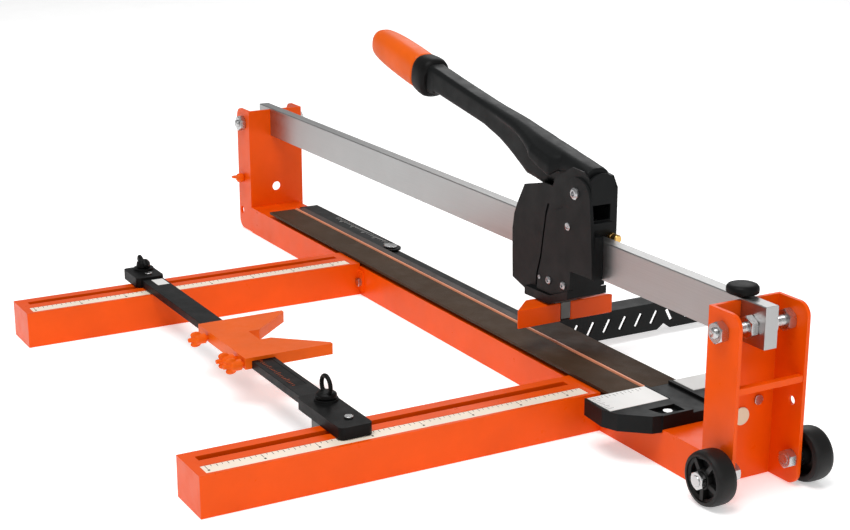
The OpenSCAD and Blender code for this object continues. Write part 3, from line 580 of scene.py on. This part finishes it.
def lever_pieces():
    """The cast lever with its hood, the collar and the soft grip."""
    pivot = place_of("lever_pivot")

    def core(dx, bottom, top, wide):
        return [(y * wide * MM, (bottom + (top - bottom) * z) * MM) for y, z in (
            (-0.75, 0), (0.75, 0), (1, 0.12), (1, 0.85), (0.72, 1), (-0.72, 1), (-1, 0.85), (-1, 0.12))], dx

    def hood(dx, under, lip, wide, top_wide, top):
        inner = max(wide - 4, 0.6 * wide)
        half = [(0, under), (inner, under), (inner, lip + 0.4), (inner + 0.8, lip),
                (wide - 0.5, lip), (wide, lip + 1.2),
                (wide * 0.97, lip + (top - lip) * 0.38), (wide * 0.84, lip + (top - lip) * 0.68),
                (top_wide + 1.6, top - 1.8), (top_wide - 1.6, top - 0.4), (0, top)]
        return [(y * MM, z * MM) for y, z in half + [(-y, z) for y, z in reversed(half[1:-1])]], dx

    arm = [core(*row) for row in (
        (-251, 257, 283.8, 10.5), (-230, 254.6, 280.3, 10.5), (-200, 249.6, 274.4, 10.5),
        (-147.6, 241, 264.9, 10.5), (-134.7, 238.6, 262.6, 10.5), (-104.8, 229.8, 257.2, 10.6),
        (-88.7, 223, 254.2, 10.7), (-78.3, 217.8, 251.8, 10.7), (-61, 208.7, 247.4, 10.8),
        (-54, 204.6, 245.7, 10.8), (-39, 203, 242.6, 10.8), (-18, 199.3, 239, 10.8),
        (-13, 203.5, 238, 10.8), (-11, 206, 237.4, 10.8), (38, 206, 230, 10.8), (48, 205, 228, 10.8),
        (55.5, 208, 225, 10.8))]
    cover = [hood(*row) for row in (
        (-165, 262, 262, 10.4, 6.5, 268.4), (-135, 256, 256, 10.6, 6.5, 263.6),
        (-110, 250, 252, 11.2, 6.8, 259.8), (-90, 245, 248, 12, 7, 257), (-76, 242, 245, 12.8, 7, 254.8),
        (-62, 238, 240.5, 14.4, 7, 251.8), (-50, 236, 236, 16.4, 7.2, 249.4),
        (-39, 231, 230.6, 18.6, 7.4, 247.2),
        (-33, 229, 225.4, 20.4, 7.6, 246), (-15, 224.5, 219, 21, 8, 243), (0, 221, 214.4, 21, 8, 240.4),
        (3.5, 220.5, 215.4, 20.4, 8, 239.8), (8, 221, 219, 17, 8, 239), (11, 221.5, 221, 13.8, 8, 238.4),
        (36, 222, 222, 13.5, 7.5, 234.2), (50, 222, 222, 13.2, 7, 231.6),
        (55.5, 222.5, 222.5, 12.4, 6.5, 230))]
    bm = bmesh.new()
    for rows in (arm, cover):
        quads(bm, [ring(bm, [(plunger_axis + dx * MM, y, z) for y, z in outline]) for outline, dx in rows])
    flat = Vector((pivot.x, 0, pivot.z))
    turned(bm, flat, (0, 1, 0), [(-11, 7.9), (-10.4, 8.6), (10.4, 8.6), (11, 7.9)])
    turned(bm, Vector((plunger_axis, 0, 206.3 * MM)), (0, 1, 0), [(-6, 5.9), (6, 5.9)])
    neck = [(-25, 15.5, 12.5, 10.8, 4), (-18, 16.5, 13.5, 11, 4), (-12, 18, 15.5, 12.5, 3.4)]
    sections(bm, collar_middle, lever_way, neck)
    piece("lever_casting", bm, "lever", "black_casting", ["lever"], voxel=1.25, passes=3,
          bore=(flat, (0, 1, 0), 5.05, 30))
    bm = bmesh.new()
    sections(bm, collar_middle, lever_way, [
        (-13, 15, 14, 12, 2.6), (-12.4, 18.5, 17.5, 15, 2.6), (-10, 20.8, 20.5, 17, 2.6),
        (-5, 21.9, 21.9, 17.9, 2.6), (2, 21.6, 21.9, 17.8, 2.6), (8, 20.8, 21.2, 17.4, 2.6),
        (11, 20.6, 20.6, 17.2, 2.6), (13, 19.6, 19.6, 16.4, 2.6)])
    piece("lever_finger_guard", bm, "lever", "black_plastic", ["lever_collar"])
    bm = bmesh.new()
    sections(bm, collar_middle, lever_way, [
        (13, 18.6, 18.6, 15.8, 2.7), (14, 19.6, 19.6, 16.7, 2.7), (30, 19.9, 19.9, 16.9, 2.7),
        (55, 19.9, 19.4, 16.9, 2.7), (80, 19.2, 18.4, 16.6, 2.7), (98, 17.9, 17, 15.6, 2.7),
        (108, 16.8, 15.6, 14.6, 2.6), (113, 15.4, 14.2, 13.4, 2.5),
        (116.5, 12.6, 11.8, 11.2, 2.4), (118.4, 8.5, 8, 7.8, 2.3), (118.9, 3, 3, 3, 2)], sides=64)
    grip = piece("lever_soft_grip", bm, "lever", "orange_plastic", ["lever_grip"])
    soft = grip.modifiers.new("soft", "SUBSURF")
    soft.levels = soft.render_levels = 1
    bake_down(grip)


# ---------- springs, wheels, knobs ----------

def helix(bm, at, low, high, radius, wire, turns):
    """A round-wire coil from low to high along Z, in mm."""
    steps = int(turns * 28)
    rings = []
    for k in range(steps + 1):
        a = 2 * math.pi * turns * k / steps
        z = low + wire + (high - low - 2 * wire) * k / steps
        out = Vector((math.cos(a), math.sin(a), 0))
        middle = at + out * (radius * MM) + Vector((0, 0, z * MM))
        rings.append(ring(bm, [
            middle + out * (wire * MM * math.cos(b)) + Vector((0, 0, wire * MM * math.sin(b)))
            for b in (2 * math.pi * i / 8 for i in range(8))]))
    quads(bm, rings)


def springs():
    low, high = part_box("return_springs")
    bm = bmesh.new()
    outer = 3.0 * MM
    for y in (low.y + outer, high.y - outer):
        helix(bm, Vector(((low.x + high.x) / 2, y, 0)), low.z / MM, high.z / MM, 2.3, 0.68, 9)
    coil = piece("return_spring_coils", bm, "carriage", "dark_steel", ["return_springs"])
    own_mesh(coil)
    low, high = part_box("table_springs")
    bm = bmesh.new()
    outer = 5.8 * MM
    for x in (low.x + outer, -0.140, 0.080, high.x - outer):
        helix(bm, Vector((x, (low.y + high.y) / 2, 0)), low.z / MM, high.z / MM, 5, 0.78, 5)
    coil = piece("table_spring_coils", bm, "frame", "dark_steel", ["table_springs"])
    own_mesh(coil)


def wheels():
    """Moulded wheels: a crowned tyre, a web with spokes and a hub."""
    for side in ("front", "rear"):
        low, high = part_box(f"wheel_{side}")
        at = (low + high) / 2
        half = (high.y - low.y) / 2 / MM
        r = (high.z - low.z) / 2 / MM
        s = -1 if side == "front" else 1
        bm = bmesh.new()
        tube_ring(bm, at, (0, s, 0), [
            (-half, r - 6), (-half, r - 3), (-half + 0.8, r - 1.4), (-half + 3, r - 0.5),
            (-half / 2, r - 0.1), (0, r),
            (half / 2, r - 0.1), (half - 3, r - 0.5), (half - 0.8, r - 1.4), (half, r - 3), (half, r - 4.6),
            (half - 1.4, r - 5), (half - 2, r - 6), (half - 2.5, r - 7.2), (-half + 2, r - 7.2)], 72)
        tube_ring(bm, at, (0, s, 0), [
            (-half, 4.9), (-half, 8.4), (-3, 9), (1, r - 6.4), (3, r - 6.4), (4, 9.4),
            (half - 0.6, 8.6), (half, 8), (half, 4.9)], 72)
        for i in range(5):
            turn = Matrix.Rotation(math.radians(72 * i + 18), 4, "Y")
            bar = Matrix.Translation(at) @ turn @ Matrix.Diagonal((0.0105, (half - 1.2) * MM, 0.0042, 1))
            shift = Matrix.Translation((1.25, s * 0.52, 0))
            bmesh.ops.create_cube(bm, size=1.0, matrix=bar @ shift)
        piece(f"wheel_{side}_moulding", bm, f"wheel_{side}", "wheel_rubber", [f"wheel_{side}"], sharp=30)


def wing_screws():
    """The orange wing screws of the angle stop and of the left bracket."""
    for name in ("stop_screw_1", "stop_screw_2", "stop_screw_3"):
        at = place_of(f"{name}_turn")
        flat = Vector((at.x, 0, at.z))
        bm = bmesh.new()
        turned(bm, flat, (0, 1, 0), [(-319.4, 2.2), (-312, 2.4), (-293.1, 2.4)], 20)
        turned(bm, flat, (0, 1, 0), [(-312.5, 4), (-311, 5.2), (-302, 5.4), (-301.1, 5)], 32)
        for s in (-1, 1):
            egg(bm, Vector((at.x, -0.3115, at.z + s * 4.9 * MM)), (2.3, 5.6, 3.3))
        piece(f"{name}_wings", bm, name, "orange_plastic", [name], voxel=0.45, passes=4)
    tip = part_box("bracket_wing_screw")[1].y / MM
    at = place_of("bracket_wing_screw_turn")
    flat = Vector((at.x, 0, at.z))
    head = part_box("left_bracket")[0].y / MM
    bm = bmesh.new()
    turned(bm, flat, (0, 1, 0), [(head - 8, 2.9), (tip, 2.9)], 24)
    turned(bm, flat, (0, 1, 0), [(head - 8.2, 4.6), (head - 7, 5.8), (head - 0.4, 5.8)], 32)
    for s in (-1, 1):
        egg(bm, Vector((at.x + s * 7.6 * MM, (head - 7.6) * MM, at.z)), (5.3, 5.5, 1.9))
    piece("bracket_wing_screw_wings", bm, "bracket_wing_screw", "orange_plastic", ["bracket_wing_screw"],
          voxel=0.45, passes=4)


def clamp_knobs():
    """The left clamp's wing knob and the right clamp's ring knob."""
    for side in ("left", "right"):
        low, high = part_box(f"clamp_knob_{side}")
        at = place_of(f"knob_{side}_turn")
        at.z = 0
        top = high.z / MM
        bm = bmesh.new()
        turned(bm, at, (0, 0, 1), [(low.z / MM, 3.9), (51.3, 3.9)], 24)
        if side == "left":
            turned(bm, at, (0, 0, 1), [(51.4, 7.2), (52.3, 7.9), (56.8, 7.4), (59.6, 5)], 32)
            for s in (-1, 1):
                egg(bm, at + Vector((s * 9.6, 0, 57.8)) * MM, (7, 2.8, 5.2))
        else:
            turned(bm, at, (0, 0, 1), [(51.4, 9.4), (52.2, 9.9), (55.3, 9.5), (57.1, 7)], 32)
            hoop = [(2.1 * math.cos(a), 9 + 2.1 * math.sin(a))
                    for a in (math.pi * k / 6 for k in range(12))]
            tube_ring(bm, at + Vector((0, 0, top - 11.2)) * MM, (0, 1, 0), hoop)
        piece(f"clamp_knob_{side}_moulding", bm, f"knob_{side}", "black_plastic", [f"clamp_knob_{side}"],
              voxel=0.5, passes=4)


def bumper():
    low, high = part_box("rail_bumper")
    at = (low + high) / 2
    at.z = low.z
    bm = bmesh.new()
    turned(bm, at, (0, 0, 1), [
        (0, 6.5), (1.6, 6.3), (1.8, 12.8), (2.6, 13.8), (4.5, 14), (7, 13.8), (8.6, 12.6),
        (9.6, 10), (10, 4)], 48)
    piece("rail_bumper_moulding", bm, "frame", "black_plastic", ["rail_bumper"])


# ---------- printed scales ----------

def ticks(name, body, slot, marks):
    """Thin printed marks. Each is (x0, y0, x1, y1, z) in mm."""
    bm = bmesh.new()
    for x0, y0, x1, y1, z in marks:
        block(bm, (x0 * MM, y0 * MM, z * MM), (x1 * MM, y1 * MM, (z + 0.05) * MM))
    piece(name, bm, body, slot)


def scales():
    low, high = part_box("arm_scale_tapes")
    top = high.z / MM
    tape = 15.6
    marks = []
    for x0 in (low.x / MM, high.x / MM - tape):
        for i in range(int((high.y - low.y) / MM / 5)):
            y = low.y / MM + 4 + i * 5
            length = 6.5 if i % 10 == 0 else 4.5 if i % 2 == 0 else 2.6
            marks.append((x0 + 0.8, y - 0.25, x0 + 0.8 + length, y + 0.25, top))
            if i % 10 == 0:
                marks.append((x0 + 9, y - 0.9, x0 + 11.5, y + 0.9, top))
    ticks("arm_tape_marks", "frame", "black_plastic", marks)
    low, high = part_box("head_scale_plates")
    top = high.z / MM
    marks = []
    for i in range(9):
        x = 356 + i * 3.4
        marks.append((x, -70, x + 0.35, -66 if i % 2 else -63.5, top))
    for i in range(12):
        y = -62 + i * 4.2
        marks.append((355, y, 358.5 if i % 2 else 361, y + 0.35, top))
    for i in range(9):
        marks.append((356 + i * 2.6, 62, 356.35 + i * 2.6, 65.5 if i % 2 else 63.8, top))
    ticks("head_plate_marks", "frame", "black_plastic", marks)
    low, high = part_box("crossbar_scale")
    top = high.z / MM
    marks = []
    for i in range(int((high.x - low.x) / MM / 4)):
        x = low.x / MM + 2 + i * 4
        length = 5 if i % 5 == 0 else 3
        marks.append((x, low.y / MM + 0.6, x + 0.4, low.y / MM + 0.6 + length, top))
    ticks("crossbar_marks", "crossbar", "orange_plastic", marks)
    low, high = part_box("swing_arm_left")
    top = high.z / MM
    marks = []
    for i in range(24):
        x = high.x / MM - 30 - i * 6
        length = 9 if i % 5 == 0 else 5
        marks.append((x, high.y / MM - 4 - length, x + 0.8, high.y / MM - 4, top))
    ticks("swing_arm_marks", "swing_left", "label_white", marks)


def clamp_sticker():
    """The small pale label on the crossbar by the left clamp."""
    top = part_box("crossbar")[1].z
    block_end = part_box("clamp_block_left")[1].x
    middle = centre("crossbar").y
    bm = bmesh.new()
    block(bm, (block_end + 4 * MM, middle - 3 * MM, top - 0.05 * MM),
          (block_end + 26 * MM, middle + 10 * MM, top + 0.1 * MM))
    piece("clamp_sticker", bm, "crossbar", "label_white")


# The default view transform washes the orange out and lifts the blacks.
bpy.context.scene.view_settings.view_transform = "Standard"
make_camera()
make_world()
area_light("key", (0.6, -0.9, 2.6), 1.7, 46)
area_light("fill", (2.4, -0.2, 1.2), 1.8, 9)
area_light("back", (-1.8, 1.6, 1.9), 1.6, 20)
make_floor()

# Distance along the rail from the plunger to the lever pivot, in mm.
PIVOT_DX = 48
plunger_axis = place_of("lever_pivot").x - PIVOT_DX * MM
low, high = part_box("lever_collar")
collar_middle = Vector(((low.x + high.x) / 2, 0, (low.z + high.z) / 2))
lever_tilt = math.radians(11)
lever_way = Vector((-math.cos(lever_tilt), 0, math.sin(lever_tilt)))

dress_cad_nodes()
end_rods()
wheel_fittings()
carriage_fittings()
lever_pieces()
springs()
wheels()
wing_screws()
clamp_knobs()
bumper()
scales()
clamp_sticker()
